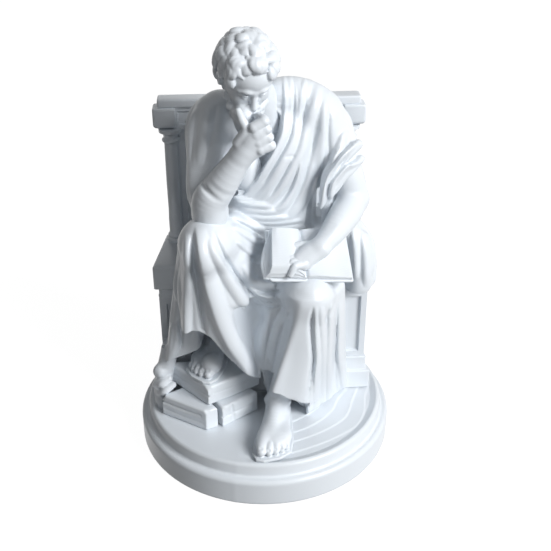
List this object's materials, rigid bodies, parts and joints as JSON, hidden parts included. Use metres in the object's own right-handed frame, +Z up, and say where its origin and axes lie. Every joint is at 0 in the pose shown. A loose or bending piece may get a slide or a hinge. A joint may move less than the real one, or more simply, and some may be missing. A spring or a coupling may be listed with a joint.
{
  "type": "seated philosopher figurine",
  "caption": "Desk figurine of a robed thinker seated on a column-backed chair, chin on fist, a book on the lap, one foot on stones, on a round stepped base.",
  "frame": {"origin": "centre of the round base's underside", "axes": "+Z up, the figure faces -Y, +X is on the figure's left"},
  "size_m": [0.1, 0.1, 0.1649],
  "materials": {
    "white_plastic": "glossy white printed plastic with fine horizontal layer lines"
  },
  "bodies": {
    "root": {"base_plinth": "white_plastic", "ground_disc": "white_plastic", "chair_foot": "white_plastic", "chair_side_right": "white_plastic", "chair_side_left": "white_plastic", "chair_rear_panel": "white_plastic", "chair_seat": "white_plastic", "chair_back_panel": "white_plastic", "chair_column_right": "white_plastic", "chair_column_left": "white_plastic", "crest_rail": "white_plastic", "crest_cap": "white_plastic", "footrest_stone_long": "white_plastic", "footrest_stone_split": "white_plastic", "footrest_stone_top": "white_plastic", "left_foot": "white_plastic", "right_foot": "white_plastic", "book_cover": "white_plastic", "book_pages": "white_plastic", "head": "white_plastic", "right_forearm": "white_plastic", "left_forearm": "white_plastic", "torso": "white_plastic", "robe_skirt": "white_plastic", "right_sleeve": "white_plastic", "left_sleeve": "white_plastic", "mantle_right": "white_plastic", "mantle_left": "white_plastic"}
  },
  "joints": []
}
